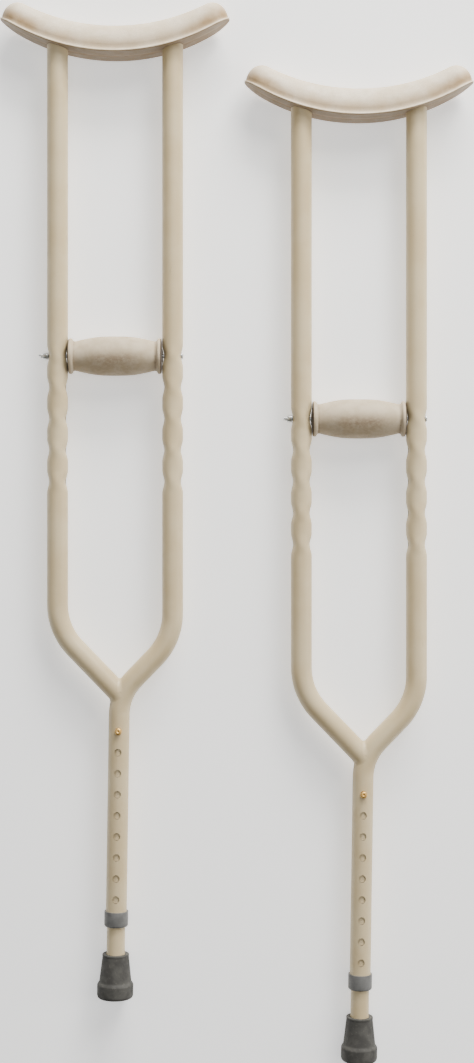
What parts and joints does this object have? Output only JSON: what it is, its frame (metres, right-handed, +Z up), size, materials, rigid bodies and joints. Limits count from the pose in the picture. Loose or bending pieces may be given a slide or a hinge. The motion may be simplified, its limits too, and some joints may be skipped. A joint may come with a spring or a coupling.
{
  "type": "underarm crutches",
  "caption": "Pair of adjustable steel underarm crutches with curved pads, bolted handgrips and telescoping legs.",
  "frame": {"origin": "on the floor under the middle of the pair's bounding box", "axes": "+Z up from the floor the crutches lie on, +Y from the feet to the underarm pads, +X from the left crutch to the right one"},
  "size_m": [0.5726, 1.2832, 0.045],
  "materials": {
    "enamel": "beige powder coat, satin",
    "pad_vinyl": "beige vinyl skin over foam, matt",
    "grip_vinyl": "beige moulded vinyl, matt",
    "grey_plastic": "grey moulded plastic",
    "grey_rubber": "dark grey rubber, matt",
    "zinc": "bright zinc plate",
    "brass": "bright brass",
    "spring_steel": "plain spring steel"
  },
  "bodies": {
    "left_frame": {"left_main_tube": "enamel", "left_branch_tube": "enamel", "left_neck_weld": "enamel", "left_underarm_rail": "enamel", "left_underarm_pad": "pad_vinyl", "left_stem_collar": "grey_plastic", "left_grip_core": "zinc", "left_grip_bolt": "zinc", "left_bolt_washer": "zinc"},
    "left_grip": {"left_hand_grip": "grip_vinyl"},
    "left_nut": {"left_wing_nut": "zinc"},
    "left_leg": {"left_leg_tube": "enamel", "left_foot_tip": "grey_rubber", "left_tip_washer": "zinc", "left_clip_spring": "spring_steel"},
    "left_button": {"left_snap_button": "brass"},
    "right_frame": {"right_main_tube": "enamel", "right_branch_tube": "enamel", "right_neck_weld": "enamel", "right_underarm_rail": "enamel", "right_underarm_pad": "pad_vinyl", "right_stem_collar": "grey_plastic", "right_grip_core": "zinc", "right_grip_bolt": "zinc", "right_bolt_washer": "zinc"},
    "right_grip": {"right_hand_grip": "grip_vinyl"},
    "right_nut": {"right_wing_nut": "zinc"},
    "right_leg": {"right_leg_tube": "enamel", "right_foot_tip": "grey_rubber", "right_tip_washer": "zinc", "right_clip_spring": "spring_steel"},
    "right_button": {"right_snap_button": "brass"}
  },
  "joints": [
    {"name": "left_leg_slide", "type": "slide", "parent": "left_frame", "child": "left_leg", "axis": [-0.0147, -0.9999, 0], "range_m": [0, 0.2032], "deforming": ["left_snap_button"]},
    {"name": "left_button_press", "type": "slide", "parent": "left_leg", "child": "left_button", "axis": [0, 0, -1], "range_m": [0, 0.0045], "stiffness_N_per_m": 1500, "springref_m": -0.001, "deforming": ["left_clip_spring"]},
    {"name": "left_grip_turn", "type": "hinge", "parent": "left_frame", "child": "left_grip", "pos_m": [-0.148, 0.21287, 0.0225], "axis": [1, 0, 0], "continuous": true},
    {"name": "left_nut_turn", "type": "hinge", "parent": "left_frame", "child": "left_nut", "pos_m": [-0.148, 0.21287, 0.0225], "axis": [1, 0, 0], "continuous": true},
    {"name": "right_leg_slide", "type": "slide", "parent": "right_frame", "child": "right_leg", "axis": [-0.0147, -0.9999, 0], "range_m": [0, 0.2032], "deforming": ["right_snap_button"]},
    {"name": "right_button_press", "type": "slide", "parent": "right_leg", "child": "right_button", "axis": [0, 0, -1], "range_m": [0, 0.0045], "stiffness_N_per_m": 1500, "springref_m": -0.001, "deforming": ["right_clip_spring"]},
    {"name": "right_grip_turn", "type": "hinge", "parent": "right_frame", "child": "right_grip", "pos_m": [0.148, 0.13667, 0.0225], "axis": [1, 0, 0], "continuous": true},
    {"name": "right_nut_turn", "type": "hinge", "parent": "right_frame", "child": "right_nut", "pos_m": [0.148, 0.13667, 0.0225], "axis": [1, 0, 0], "continuous": true},
    {"name": "right_crutch_lift", "type": "slide", "parent": "left_frame", "child": "right_frame", "axis": [0, 0, 1], "range_m": [0, 0.3]}
  ]
}
